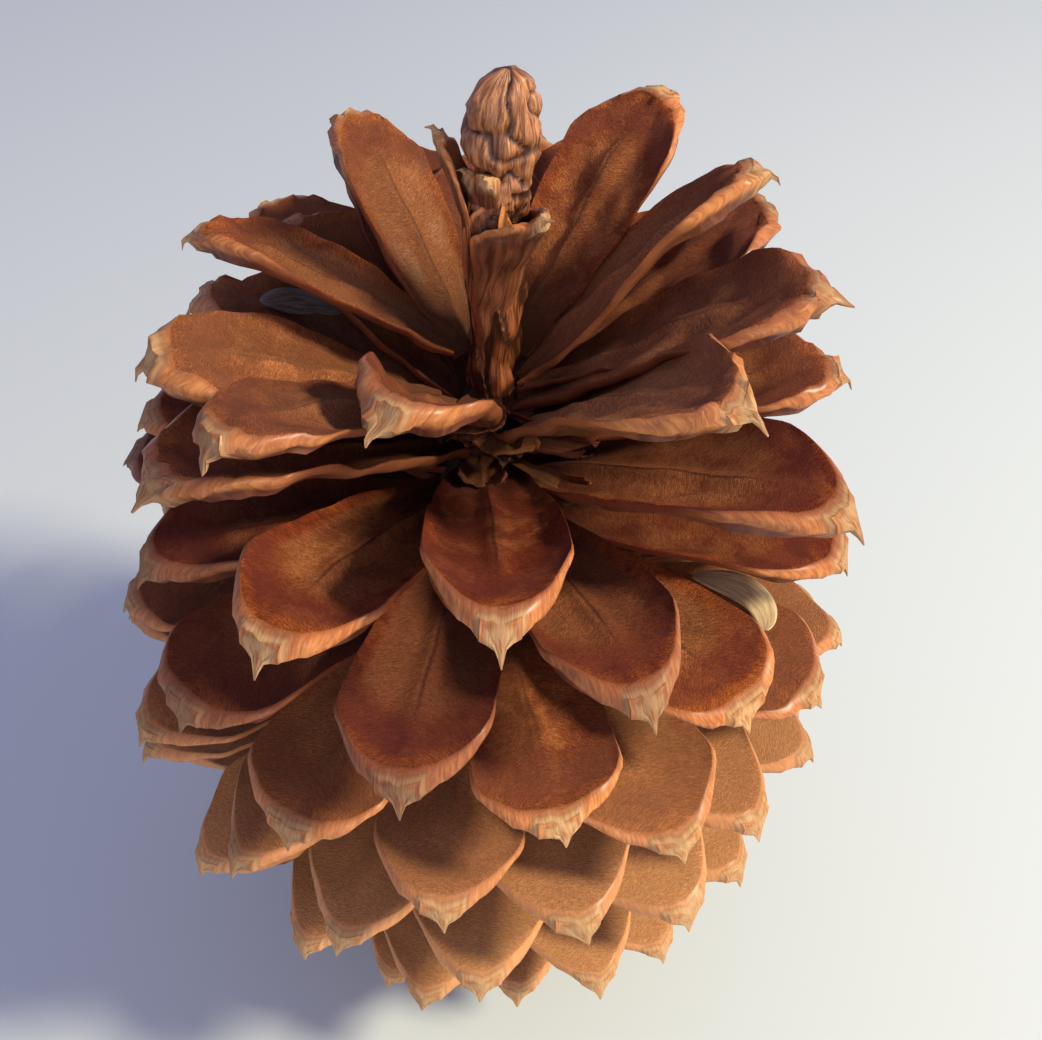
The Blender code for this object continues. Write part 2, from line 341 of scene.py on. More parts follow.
# %% [markdown]
# ## The blade's outline and its lip
#
# Seen from above, the blade is a shield: narrow at the root, widest just before its front
# corners, with a blunt point. Seen from the side, its edge is thin along the flanks and grows
# to a lip about 6 mm high in the middle of the front, with a few soft folds. One number, the
# lip's share, blends those two profiles.

# %% Shape the outline
WIDTHS = ((0, 0.38), (0.15, 0.59), (0.3, 0.76), (0.45, 0.88), (0.6, 0.95), (0.75, 0.99),
          (0.9, 1.0), (1, 0.88))
ROOT_AT = 0.13
EDGE_AT = 0.965
FRONT_SWEEP = 0.115

width = np.interp(along, [w[0] for w in WIDTHS], [w[1] for w in WIDTHS])
spread = np.sign(across) * np.abs(across) ** 0.9
plan_x = spread * width * FULL_HALF_WIDTH
sweep_back = FRONT_SWEEP * along**3 * np.abs(across) ** 2.3
plan_y = (ROOT_AT + (EDGE_AT - ROOT_AT) * along - sweep_back) * FULL_LENGTH

# %% Shape the lip
LIP_OUT = (0.0, 0.6, 1.8, 3.0, 3.0, 0.2)
LIP_DOWN = (0.0, 0.15, 1.3, 3.1, 5.2, 6.2)
FLANK_OUT = (0.0, 0.12, 0.16, 0.1, 0.0, -0.4)
FLANK_DOWN = (0.0, 0.18, 0.5, 0.9, 1.3, 1.7)

at_front = (along > 0.999).astype(float)
lip = np.where(
    at_front > 0,
    1 - 0.82 * np.abs(across) ** 1.5,
    0.18 * ease(0.75, 1.0, along),
)
out_x = np.where(at_front > 0, np.sign(across) * 0.72 * np.abs(across) ** 4, np.sign(across))
out_y = np.where(at_front > 0, 1 - 0.31 * np.abs(across) ** 4, 0.69 * ease(0.6, 1.0, along))
on_side = (np.abs(across) > 0.999) | (at_front > 0)
out_x = np.where(on_side, out_x, 0)
out_y = np.where(on_side & (along > 0.01), out_y, 0)

out_by = np.array(FLANK_OUT)[depth] * (1 - lip) + np.array(LIP_OUT)[depth] * lip
down_by = np.array(FLANK_DOWN)[depth] * (1 - lip) + np.array(LIP_DOWN)[depth] * lip
belly = 2.0 + 3.6 * ease(0.66, 1.0, along) * (1 - 0.5 * np.abs(across) ** 3)
belly += 1.2 * np.exp(-((across / 0.3) ** 2)) * (1 - along)
down_by = np.where((depth == RINGS) & ~on_side, belly, down_by)

# %% [markdown]
# ## The velvet face
#
# The upper face isn't flat. Two shallow beds show where the winged seeds lay, a fine ridge
# runs down the middle between them, and the face rises a little to its crisp front edge.

# %% Shape the upper face and put the master together
crown = 0.45 * np.exp(-((across / 0.08) ** 2)) * ease(0.05, 0.3, along) * (1 - ease(0.75, 0.95, along))
beds = -0.8 * ease(0.06, 0.2, np.abs(across)) * (1 - ease(0.72, 0.9, np.abs(across)))
beds *= 1 - ease(0.78, 0.9, along + 0.1 * across**2)
rim = 0.45 * ease(0.86, 1.0, np.maximum(np.abs(across), along))
relief = np.where(depth < RINGS, crown + beds + rim, 0)

folds = np.sin(across * 19 + 0.6) * 0.5 + np.sin(across * 31 + 2.0) * 0.3
folded = at_front * (depth > 0) * (depth < 5) * (1 - np.abs(across))
down_by = down_by + folds * folded * 0.35
out_by = out_by + folds * folded * 0.28
hollow = at_front * (depth > 2) * np.exp(-(((np.abs(across) - 0.42) / 0.12) ** 2))
out_by = out_by - 0.5 * hollow
down_by = down_by - 0.5 * hollow * (depth > 3)

points = np.stack([
    plan_x + out_x * out_by,
    plan_y + out_y * out_by,
    relief - down_by,
], 1)
write_points(master, points)
keep_vectors(master, "place", np.stack([across, along, depth / RINGS], 1))
print("the flat scale is", np.round(points.max(0) - points.min(0), 1), "mm")

# %% [markdown]
# ## The umbo and its prickle
#
# The boss stands in the middle of the lip. Its faces are found by their place in the block,
# inset, and drawn out four times, smaller and lower each time, so that the prickle hooks
# down as the real one does.

# %% Draw out the prickle
UMBO_COLUMNS = 0.26
PULLS = (  # forward, down, shrink
    (0.6, 0.5, 0.62),
    (0.6, 0.9, 0.46),
    (0.5, 1.6, 0.50),
    (0.3, 1.6, 0.26),
)


def select_faces(item, wanted):
    """Leave exactly the faces selected whose middle satisfies a test."""
    for part in (item.data.vertices, item.data.edges):
        part.foreach_set("select", [False] * len(part))
    item.data.polygons.foreach_set("select", [bool(wanted(face)) for face in item.data.polygons])


def on_umbo(face):
    spots = [grid[index] for index in face.vertices]
    if min(spot[1] for spot in spots) < 0.999:
        return False
    middle = sum(spot[0] for spot in spots) / len(spots)
    depths = [-spot[2] for spot in spots]
    return abs(middle) < UMBO_COLUMNS and min(depths) > 1.5


select_faces(master, on_umbo)
first_new = len(master.data.vertices)
bpy.ops.object.mode_set(mode="EDIT")
bpy.ops.mesh.select_mode(type="FACE")
bpy.ops.mesh.inset(thickness=0.35, depth=0.25)
for forward_by, lower_by, shrink in PULLS:
    bpy.ops.mesh.extrude_region_move(
        TRANSFORM_OT_translate={"value": (0, forward_by, -lower_by)}
    )
    bpy.ops.transform.resize(value=(shrink, shrink, shrink))
bpy.ops.mesh.select_all(action="DESELECT")
bpy.ops.object.mode_set(mode="OBJECT")

boss = np.zeros(len(master.data.vertices))
near_boss = (at_front > 0) & (depth > 1)
boss[:first_new] = near_boss * np.clip(1.15 - np.abs(across) / (0.05 * depth + 0.02), 0, 1)
boss[first_new:] = 1
keep_vectors(master, "boss", np.stack([boss, boss, boss], 1))
print("corners added for the umbo and prickle:", int(boss.sum()))

# %% Set the master's edges
CRISP_ANGLE = 42
bpy.ops.object.shade_smooth_by_angle(angle=math.radians(CRISP_ANGLE))
flat_points = read_points(master)
print("the master has", sum(len(f.vertices) - 2 for f in master.data.polygons), "triangles")

# %% [markdown]
# ## Finishes as sums
#
# A finish is easier to read as a sum than as a picture of nodes. A small class wraps a node's
# socket, so that adding or multiplying two of them adds the node that does it. Colours go
# through Mix nodes, and every other node comes from one method.

# %% Wrap a socket
class Wire:
    """A shader socket that can be reckoned with like a number."""

    def __init__(self, finish, socket):
        self.finish = finish
        self.socket = socket

    def reckon(self, operation, *values):
        sockets = dict(enumerate(values))
        return self.finish.add("ShaderNodeMath", {"operation": operation}, sockets)

    def __add__(self, other):
        return self.reckon("ADD", self, other)

    def __sub__(self, other):
        return self.reckon("SUBTRACT", self, other)

    def __rsub__(self, other):
        return self.reckon("SUBTRACT", other, self)

    def __mul__(self, other):
        return self.reckon("MULTIPLY", self, other)

    def __pow__(self, other):
        return self.reckon("POWER", self, other)

    def __abs__(self):
        return self.reckon("ABSOLUTE", self)

    __radd__ = __add__
    __rmul__ = __mul__


# %% Write a finish
class Finish:
    """A material whose nodes are added by name."""

    def __init__(self, name, roughness=0.6):
        self.material = bpy.data.materials.new(name)
        self.material.use_nodes = True
        self.tree = self.material.node_tree
        self.shader = self.tree.nodes["Principled BSDF"]
        self.shader.inputs["Roughness"].default_value = roughness

    def feed(self, socket, value):
        if isinstance(value, Wire):
            self.tree.links.new(value.socket, socket)
        elif isinstance(value, tuple) and socket.type == "RGBA":
            socket.default_value = (*value, 1)
        else:
            socket.default_value = value

    def add(self, kind, settings, sockets, output=0):
        node = self.tree.nodes.new(kind)
        for key, value in settings.items():
            setattr(node, key, value)
        for key, value in sockets.items():
            self.feed(node.inputs[key], value)
        return Wire(self, node.outputs[output])

    def kept(self, name):
        """Read a corner attribute as three numbers."""
        node = self.tree.nodes.new("ShaderNodeAttribute")
        node.attribute_name = name
        split = self.tree.nodes.new("ShaderNodeSeparateXYZ")
        self.tree.links.new(node.outputs["Vector"], split.inputs[0])
        return [Wire(self, output) for output in split.outputs]

    def vector(self, x, y, z):
        return self.add("ShaderNodeCombineXYZ", {}, {0: x, 1: y, 2: z})

    def mask(self, low, high, value):
        """Rise smoothly from 0 where value is low to 1 where it is high."""
        sockets = {"Value": value, "From Min": low, "From Max": high}
        return self.add("ShaderNodeMapRange", {"interpolation_type": "SMOOTHSTEP"}, sockets)

    def grain(self, vector, scale, detail=3.0, roughness=0.55, distortion=0.0):
        sockets = {"Vector": vector, "Scale": scale, "Detail": detail, "Roughness": roughness,
                   "Distortion": distortion}
        return self.add("ShaderNodeTexNoise", {}, sockets)

    def mix(self, share, low, high):
        """Blend two colours."""
        return self.add("ShaderNodeMix", {"data_type": "RGBA"}, {0: share, 6: low, 7: high}, 2)

    def bump(self, height, distance, strength=1.0, under=None):
        sockets = {"Height": height, "Distance": distance, "Strength": strength}
        if under is not None:
            sockets["Normal"] = under
        return self.add("ShaderNodeBump", {}, sockets)

    def set(self, **sockets):
        for key, value in sockets.items():
            self.feed(self.shader.inputs[key.replace("_", " ")], value)


print("finishes can be written")

# %% [markdown]
# ## The finish of the scales
#
# The upper face is dark red velvet: short fibres slant outward from the middle line like the
# barbs of a feather. The lip is glossy and orange, finely streaked from top to bottom, and
# rosy near its upper edge. The umbo is straw, with a dark seam round it, and the underside a
# dull streaked brown. The masks are the corner attributes that the master keeps.

# %% Read where a spot lies on its scale
wood = Finish("cone_wood")
spot_across, spot_along, spot_depth = wood.kept("place")
grain_x, grain_y, grain_z = wood.kept("grain")
# The tone's first number is painted paleness, which stands in for light and sheen.
painted_pale, shade, hue = wood.kept("tone")
on_boss = wood.kept("boss")[0]

from_middle = abs(spot_across)
is_lip = wood.mask(0.04, 0.36, spot_depth)
is_under = wood.mask(0.82, 1.0, spot_depth)
is_front = wood.mask(0.70, 0.97, spot_along)
print("the scales' finish reads 4 attributes")

# %% Colour the velvet face
slanted = grain_y - from_middle * 0.45
fibre_place = wood.vector(grain_x * 12.0, slanted * 48.0, grain_z * 3.0)
fibres = wood.grain(fibre_place, 1.0, 3.0, 0.7, 0.8)
# The fine sparkle is painted glints of the velvet. It is mixed with the real fibre pattern into one
# mask.
painted_sparkle = wood.grain(wood.vector(grain_x * 70.0, grain_y * 80.0, grain_z), 1.0, 2.0, 0.7)
clouds = wood.grain(wood.vector(grain_x, grain_y, grain_z), 1.6, 3.0, 0.6, 0.6)

fibres_and_glints = wood.mask(0.36, 0.66, fibres * 0.5 + painted_sparkle * 0.5)
velvet = wood.mix(fibres_and_glints, (0.135, 0.026, 0.006), (0.84, 0.205, 0.046))
reds = wood.mix(fibres_and_glints, (0.070, 0.010, 0.004), (0.42, 0.072, 0.020))
velvet = wood.mix(wood.mask(0.38, 0.66, clouds + shade * 0.25 - 0.12), reds, velvet)
bed_edge = spot_along + from_middle**2 * 0.10
in_bed = (1 - wood.mask(0.76, 0.90, bed_edge)) * (1 - wood.mask(0.72, 0.86, from_middle))
tan_bed = wood.mix(fibres_and_glints, (0.20, 0.058, 0.018), (0.88, 0.330, 0.120))
velvet = wood.mix(in_bed * wood.mask(0.30, 0.65, clouds * 0.6 + shade * 0.5) * 0.7, velvet, tan_bed)
near_edge = wood.mask(0.78, 0.90, bed_edge) * (1 - wood.mask(0.93, 0.99, spot_along))
velvet = wood.mix(near_edge * 0.55, velvet, (0.19, 0.040, 0.028))
# Painted shade: one half of the face, picked at random for each scale, is darkened as if turned from the
# lamp.
painted_half_shade = wood.mask(-0.02, 0.03, spot_across * (shade - 0.5) * 4.0)
velvet = wood.mix(painted_half_shade * 0.35 * in_bed, velvet, (0.10, 0.026, 0.012))
middle_line = 1 - wood.mask(0.008, 0.035, from_middle)
middle_line = middle_line * (1 - wood.mask(0.72, 0.9, spot_along))
velvet = wood.mix(middle_line * 0.65, velvet, (0.055, 0.016, 0.010))
# Towards the root the velvet darkens almost to black. Part of this is the root's own darker brown, and
# part is painted shade deep between the scales.
root_dark_and_shade = 1 - wood.mask(0.08, 0.55, spot_along)
velvet = wood.mix(root_dark_and_shade * 0.85, velvet, (0.040, 0.009, 0.004))

# %% Colour the lip, the umbo and the underside
streak_place = wood.vector(grain_x * 22.0, grain_y * 2.0, grain_z * 3.0)
streaks = wood.grain(streak_place, 1.0, 3.0, 0.6, 0.3)
lip_colour = wood.mix(wood.mask(0.35, 0.68, streaks), (0.42, 0.122, 0.030), (0.70, 0.250, 0.066))
rosy = (1 - wood.mask(0.15, 0.5, spot_depth)) * 0.5
lip_colour = wood.mix(rosy, lip_colour, (0.42, 0.105, 0.040))
flank_colour = wood.mix(streaks, (0.10, 0.022, 0.008), (0.28, 0.066, 0.020))
lip_colour = wood.mix(is_front, flank_colour, lip_colour)
# A painted highlight: a thin bright line along the lip's top front edge.
painted_edge_highlight = wood.mask(0.0, 0.08, spot_depth) * (1 - wood.mask(0.12, 0.3, spot_depth)) * is_front

straw = wood.mix(wood.mask(0.2, 0.8, streaks), (0.45, 0.250, 0.110), (0.62, 0.390, 0.190))
under_place = wood.vector(grain_x * 8.0, grain_y * 0.8, grain_z)
under_streaks = wood.grain(under_place, 1.0, 4.0, 0.6, 0.5)
under_colour = wood.mix(wood.mask(0.3, 0.7, under_streaks), (0.085, 0.025, 0.010), (0.26, 0.085, 0.034))

# Painted light: lower scales are painted paler, as if more lit from the front, and crown scales a
# little, as a painted sheen.
painted_lit_velvet = wood.mix(fibres_and_glints, (0.54, 0.195, 0.070), (1.0, 0.480, 0.195))
painted_lit_lip = wood.mix(streaks, (0.54, 0.200, 0.068), (0.88, 0.405, 0.150))
velvet = wood.mix(painted_pale, velvet, painted_lit_velvet)
lip_colour = wood.mix(painted_pale * 0.8, lip_colour, painted_lit_lip)
colour = wood.mix(is_lip, velvet, lip_colour)
# Here the painted highlight along the lip's front edge is laid on.
colour = wood.mix(painted_edge_highlight * 0.3, colour, (0.74, 0.30, 0.11))
colour = wood.mix(is_under, colour, under_colour)
seam = wood.mask(0.05, 0.45, on_boss) * (1 - wood.mask(0.40, 0.85, on_boss))
colour = wood.mix(on_boss * 0.9, colour, straw)
colour = wood.mix(seam * 0.3, colour, (0.14, 0.042, 0.016))
darker = wood.mix(hue * 0.65 * (1 - painted_pale * 0.7), colour, (0.090, 0.018, 0.019))

# %% Give the scales their gloss and relief
fibre_height = fibres_and_glints * (1 - is_lip)
streak_height = streaks * is_lip
relief_normal = wood.bump(fibre_height, 0.0002, 0.9)
relief_normal = wood.bump(streak_height, 0.0003, 0.5, relief_normal)
wood.set(
    Base_Color=darker,
    Coat_Weight=is_lip * is_front * (1 - on_boss) * 0.55 + 0.03,
    Normal=relief_normal,
)
wood.shader.inputs["Roughness"].default_value = 0.8
wood.shader.inputs["Specular IOR Level"].default_value = 0.08
wood.shader.inputs["Coat Roughness"].default_value = 0.33
print("nodes in the scales' finish:", len(wood.tree.nodes))

# %% [markdown]
# ## Set a copy on every place of the spiral
#
# Each copy gets its own mesh, a little wave along its edges and a little unevenness, so that
# no two are the same, and keeps a random shift of its grain. Crown scales warp the most and
# crumple at their tips, because they dried in the open. Those under the first full turn are
# blunt. Low down the scales are flatter, with a smaller lip and a sharper front, and the lower
# the scale, the paler it is painted, as painted light. Crown scales are painted a little paler
# at random, as a painted sheen.

# %% Warp a copy and place it
WAVE = 0.35
SPOON = 2.4
BLUNT_FRONT = 4.5
CRUMPLE = 1.1
LUMPS = 0.42


def warp(points, number, strength=1.0):
    """Make a flat copy uneven: waves along its edges and soft lumps."""
    draw = random.Random(5000 + number)
    phase = draw.uniform(0, 6.3)
    shift = Vector((draw.uniform(0, 90), draw.uniform(0, 90), 0))
    side = points[:, 0] / FULL_HALF_WIDTH
    warped = points.copy()
    lowness = float(ease(12, 42, number))
    bluntness = float(ease(12, 14.5, number) * (1 - ease(24, 40, number)))
    lip_size = draw.uniform(0.75, 1.12) * (1 - 0.3 * lowness - 0.3 * bluntness)
    warped[:, 2] *= np.where(points[:, 2] < 0, lip_size, 1)
    waves = np.sin(points[:, 1] / 7.5 + phase + side) * np.abs(side) ** 2
    warped[:, 2] += WAVE * strength * waves + draw.uniform(-1.3, 0.7) * strength * side**2
    warped[:, 2] += draw.uniform(-0.8, 0.8) * strength * side
    reached = points[:, 1] / FULL_LENGTH
    spoon = SPOON * (1 - 1.1 * lowness) * (1 - 0.9 * bluntness)
    warped[:, 2] += spoon * side**2 * np.clip(reached, 0, 1)
    near_front = ease(0.74, 1.0, reached)
    warped[:, 1] += BLUNT_FRONT * bluntness * ease(0.6, 0.88, reached) * side**2
    warped[:, 1] -= 3.2 * lowness * near_front * np.abs(side) ** 1.3
    warped[:, 2] -= draw.uniform(0.0, 1.6) * near_front
    warped[:, 1] += draw.uniform(-0.6, 1.8) * near_front * (0.5 - np.abs(side))
    warped[:, 1] += draw.uniform(-1.2, 1.2) * near_front * side
    warped[:, 0] *= 1 + draw.uniform(-0.07, 0.07) * (2 * reached - 1)
    beyond = np.maximum(points[:, 1] - 0.985 * FULL_LENGTH, 0)
    warped[:, 0] += draw.uniform(-0.45, 0.45) * beyond * (np.abs(side) < 0.25)
    crumple = CRUMPLE * max(strength - 1, 0) * near_front
    for index, point in enumerate(points):
        soft = noise.noise_vector(Vector(point) * 0.16 + shift)
        warped[index] += np.array(soft) * LUMPS * strength * (1, 1, 1.4)
        if crumple[index] > 0:
            sharp = noise.noise_vector(Vector(point) * 0.42 + shift)
            warped[index] += np.array(sharp) * crumple[index]
    return warped


def place_copy(number, habit, name, points=None, source=None, strength=1.0):
    """Copy the master, warp it, bend it to its habit and tone it."""
    source = source or master
    points = flat_points if points is None else points
    draw = random.Random(9000 + number)
    copy = bpy.data.objects.new(name, source.data.copy())
    bpy.context.scene.collection.objects.link(copy)
    write_points(copy, bend_points(warp(points, number, strength), habit))
    shift = [draw.uniform(0, 40) for axis in range(3)]
    keep_vectors(copy, "grain", points / 10 + shift)
    # Painted light: scales are paler the lower they sit. Crown scales get a little random paleness as a
    # painted sheen.
    painted_paleness = float(ease(12, 52, number)) if number >= 0 else 0.05 + 0.25 * draw.random()
    tone = [painted_paleness, draw.random(), draw.random() ** 1.6]
    keep_vectors(copy, "tone", np.tile(tone, (len(points), 1)))
    return copy


def join_pieces(items, name):
    """Make one piece of several, under one name."""
    bpy.ops.object.select_all(action="DESELECT")
    for item in items:
        item.select_set(True)
    bpy.context.view_layer.objects.active = items[0]
    bpy.ops.object.join()
    piece = bpy.context.object
    piece.name = name
    piece.data.name = name
    return piece


# %% Fill the spiral
GROUPS = (("crown_scales", -24, -1), ("upper_scales", 0, 33), ("middle_scales", 34, 67),
          ("lower_scales", 68, 101))
CROWN_WARP = 2.0
finished = []
for group, first, last in GROUPS:
    copies = []
    for number in range(first, last + 1):
        if number in BROKEN_SCALES:
            continue
        strength = CROWN_WARP if number < 0 else 1.0
        copies.append(place_copy(number, scale_habit(number), f"scale_{number + 24}", strength=strength))
    piece = join_pieces(copies, group)
    finished.append(piece)
    print(group, "made of", len(copies), "scales,", len(piece.data.polygons), "faces")

# %% [markdown]
# ## The axis
#
# Behind the scales stands the axis. Between them only its dark top and its stem scar show, so
# a ring pulled up in steps is enough, with a finish of its own: dark, fissured wood.

# %% Pull up the axis
AXIS_PROFILE = ((13.0, 0.0), (13.4, 3.0), (12.6, 14.0), (12.0, 30.0), (11.2, 55.0), (9.8, 95.0),
                (7.6, 118.0), (5.6, 130.0), (4.2, 138.0), (2.0, 141.0))

bpy.ops.object.select_all(action="DESELECT")
first_radius = AXIS_PROFILE[0][0] * MM
bpy.ops.mesh.primitive_circle_add(vertices=40, radius=first_radius, fill_type="NGON")
axis = bpy.context.object
axis.name = "axis_core"
bpy.ops.object.mode_set(mode="EDIT")
bpy.ops.mesh.select_mode(type="FACE")
bpy.ops.mesh.select_all(action="SELECT")
for (radius, height), (next_radius, next_height) in zip(AXIS_PROFILE, AXIS_PROFILE[1:]):
    rise = (next_height - height) * MM
    bpy.ops.mesh.extrude_region_move(TRANSFORM_OT_translate={"value": (0, 0, rise)})
    growth = next_radius / radius
    bpy.ops.transform.resize(value=(growth, growth, 1))
bpy.ops.mesh.select_all(action="SELECT")
bpy.ops.mesh.normals_make_consistent(inside=False)
bpy.ops.object.mode_set(mode="OBJECT")
axis_points = read_points(axis)
axis_points[:, 0] += AXIS_BOW * np.sin(np.pi * np.clip(axis_points[:, 2] / BOW_TOP, 0, 1))
write_points(axis, axis_points)
bpy.ops.object.shade_smooth_by_angle(angle=math.radians(50))
print("the axis has", len(axis.data.polygons), "faces")

# %% Finish the axis
bark = Finish("axis_wood", 1.0)
spot = bark.add("ShaderNodeTexCoord", {}, {}, "Object")
fissures = bark.grain(spot, 260.0, 5.0, 0.7, 0.8)
bark_colour = bark.mix(bark.mask(0.35, 0.7, fissures), (0.020, 0.007, 0.004), (0.11, 0.038, 0.016))
bark.set(Base_Color=bark_colour, Normal=bark.bump(fissures, 0.0006, 0.9))
axis.data.materials.append(bark.material)
finished.append(axis)

# %% [markdown]
# ## The spike on top
#
# The last scales never opened. They dried together into a shaft with long overlapping edges
# and a thick, wrinkled head. A ring is pulled up in many small steps, and then the corners
# are moved: lobes that wind up the shaft, folds on the head, and fine uneven wrinkles.

# %% Pull up the spike
SPIKE_SIDES = 72
SPIKE_STEPS = 84
# Height, radius across, radius in depth and lean to the right, in mm
SPIKE_PROFILE = (
    (138.0, 4.6, 4.6, 0.0),
    (148.0, 3.7, 3.7, 0.0),
    (158.0, 3.9, 3.8, 0.4),
    (168.0, 4.3, 4.0, 1.0),
    (175.0, 4.2, 3.9, 1.4),
    (179.0, 4.4, 4.0, 1.5),
    (183.0, 5.4, 4.8, 1.5),
    (188.0, 5.5, 5.0, 1.6),
    (191.3, 4.5, 4.1, 1.9),
    (193.3, 2.9, 2.7, 2.2),
    (194.2, 0.9, 0.9, 2.3),
)

bpy.ops.object.select_all(action="DESELECT")
bpy.ops.mesh.primitive_circle_add(vertices=SPIKE_SIDES, radius=1, fill_type="NGON")
spike = bpy.context.object
spike.name = "closed_spike"
bpy.ops.object.mode_set(mode="EDIT")
bpy.ops.mesh.select_mode(type="FACE")
bpy.ops.mesh.select_all(action="SELECT")
for step in range(SPIKE_STEPS):
    bpy.ops.mesh.extrude_region_move(TRANSFORM_OT_translate={"value": (0, 0, 1)})
bpy.ops.mesh.select_all(action="SELECT")
bpy.ops.mesh.normals_make_consistent(inside=False)
bpy.ops.object.mode_set(mode="OBJECT")
print("the spike has", len(spike.data.vertices), "corners before it is shaped")

# %% Fold and wrinkle the spike
SHAFT_LOBES = 5
LOBE_TURN = 0.045
HEAD_FROM = 176.0


def crease(x, y, z):
    """Return 0 to 1, near 1 in a narrow crease of the dried surface."""
    value = abs(noise.noise(Vector((x, y, z))))
    return max(0.0, 1 - value * 4.2) ** 1.3


def spike_form(rings):
    """Return the rings' places on the spike's uneven surface, in mm, and how dark they are: painted
    shade in the creases, and dark seams under the lobes' edges.
    """
    rise = rings[:, 2] / SPIKE_STEPS
    rise = 1 - (1 - rise) ** 1.25
    low, high = SPIKE_PROFILE[0][0], SPIKE_PROFILE[-1][0]
    height = low + rise * (high - low)
    columns = np.array(SPIKE_PROFILE).T
    wide, deep, lean = (np.interp(height, columns[0], column) for column in columns[1:])
    angle = np.arctan2(rings[:, 1], rings[:, 0])
    on_head = ease(HEAD_FROM - 3, HEAD_FROM + 3, height)
    wound = (angle * SHAFT_LOBES / (2 * np.pi) + height * LOBE_TURN) % 1
    lobes = (wound - 0.5) * 0.9 * (1 - on_head)
    lumps = np.array([noise.noise(Vector((math.cos(a) * 1.3, math.sin(a) * 1.3, h * 0.16)))
                      for a, h in zip(angle, height)])
    creases = np.array([crease(math.cos(a) * 0.9 + 4, math.sin(a) * 0.9, h * (0.10 + 0.13 * on))
                        for a, h, on in zip(angle, height, on_head)])
    rough = np.array([noise.noise(Vector((math.cos(a) * 6, math.sin(a) * 6, h * 0.35)))
                      for a, h in zip(angle, height)])
    swell = lobes + lumps * (1.3 + 0.4 * on_head) + rough * 0.35 - creases * (0.3 + 0.5 * on_head) - 0.1
    swell *= np.minimum(1, wide / 3)
    x = lean + np.cos(angle) * np.maximum(wide + swell, 0.15)
    y = np.sin(angle) * np.maximum(deep + swell, 0.15)
    return np.stack([x, y, height], 1), creases * 0.8 + (wound < 0.12) * (1 - on_head) * 0.8


spike_flat = read_points(spike)
spike_points, crease_shade_and_seams = spike_form(spike_flat)
write_points(spike, spike_points * MM)
wrap = np.arctan2(spike_flat[:, 1], spike_flat[:, 0])
grain = np.stack([np.cos(wrap), spike_flat[:, 2] / 9, np.sin(wrap)], 1) * 0.6
keep_vectors(spike, "grain", grain)
# Painted highlight: the spike's colour grows lighter towards the top of its head.
head_highlight_share = ease(150, 190, spike_points[:, 2])
keep_vectors(spike, "tone", np.stack([crease_shade_and_seams, head_highlight_share, head_highlight_share], 1))
bpy.ops.object.shade_smooth_by_angle(angle=math.radians(60))
print("the spike stands to", round(float(read_points(spike)[:, 2].max()) / MM, 1), "mm")

# %% Finish the spike
knob = Finish("spike_wood", 0.4)
wound_x, wound_y, wound_z = knob.kept("grain")
deep, painted_head_highlight, unused = knob.kept("tone")
threads = knob.grain(knob.vector(wound_x * 11.0, wound_y * 1.6, wound_z * 11.0), 1.0, 4.0, 0.65, 0.6)
blotches = knob.grain(knob.vector(wound_x, wound_y, wound_z), 1.8, 3.0, 0.6, 0.8)
low_colour = knob.mix(knob.mask(0.38, 0.62, threads), (0.065, 0.017, 0.006), (0.32, 0.090, 0.028))
# The head's paler colour is a painted highlight.
highlit_head_colour = knob.mix(knob.mask(0.36, 0.64, threads), (0.17, 0.052, 0.018), (0.60, 0.245, 0.095))
knob_colour = knob.mix(painted_head_highlight, low_colour, highlit_head_colour)
knob_colour = knob.mix(knob.mask(0.5, 0.7, blotches) * 0.5, knob_colour, (0.16, 0.050, 0.022))
# Painted shade darkens the creases almost to black, and the seams under the lobes' edges are darkened
# too.
knob_colour = knob.mix(knob.mask(0.12, 0.7, deep) * 0.95, knob_colour, (0.045, 0.014, 0.007))
knob.set(Base_Color=knob_colour, Normal=knob.bump(threads, 0.0004, 0.7))
spike.data.materials.clear()
spike.data.materials.append(knob.material)
finished.append(spike)
print("nodes in the spike's finish:", len(knob.tree.nodes))

# %% Wrap closed scales round the shaft
# Turn, reach, height of the tip, half width and cup of each
CLOSED_SCALES = (
    (-12, 2.2, 180.0, 4.4, 3.6),
    (60, 2.0, 178.0, 4.4, 3.6),
    (125, 2.2, 181.0, 4.6, 3.6),
    (195, 2.0, 179.0, 4.4, 3.6),
    (-70, 2.4, 179.0, 4.2, 3.6),
)
closed_copies = []
for index, (turn_by, reach_by, tip_at, half, cup) in enumerate(CLOSED_SCALES):
    closed = scale_habit(-26)
    closed.update({"azimuth": math.radians(turn_by), "radius": reach_by, "height": tip_at,
                   "root": 140.0, "half_width": half, "cup": cup, "sweep": 0.0})
    closed_copies.append(place_copy(-40 + index, closed, f"closed_{index}", strength=1.6))
closed_scales = join_pieces(closed_copies, "closed_scales")
finished.append(closed_scales)
print("closed scales round the shaft:", len(closed_copies))

# %% [markdown]
# ## Broken stubs and torn flakes
#
# Three scales snapped off near the axis, and torn flakes cling to the roots in front. A copy
# of the master is cut across with bisect, its cut filled, and the open end roughened into torn
# fibres before it is bent to its place.

# %% Cut a stub and set one on each broken scale
STUB_CUT = 27.0
TEAR = 1.6

bpy.ops.object.select_all(action="DESELECT")
stub_master = bpy.data.objects.new("stub_master", master.data.copy())
bpy.context.scene.collection.objects.link(stub_master)
bpy.context.view_layer.objects.active = stub_master
stub_master.select_set(True)
bpy.ops.object.mode_set(mode="EDIT")
bpy.ops.mesh.select_all(action="SELECT")
bpy.ops.mesh.bisect(plane_co=(0, STUB_CUT, 0), plane_no=(0, 1, 0), use_fill=True, clear_outer=True)
bpy.ops.mesh.select_all(action="DESELECT")
bpy.ops.object.mode_set(mode="OBJECT")

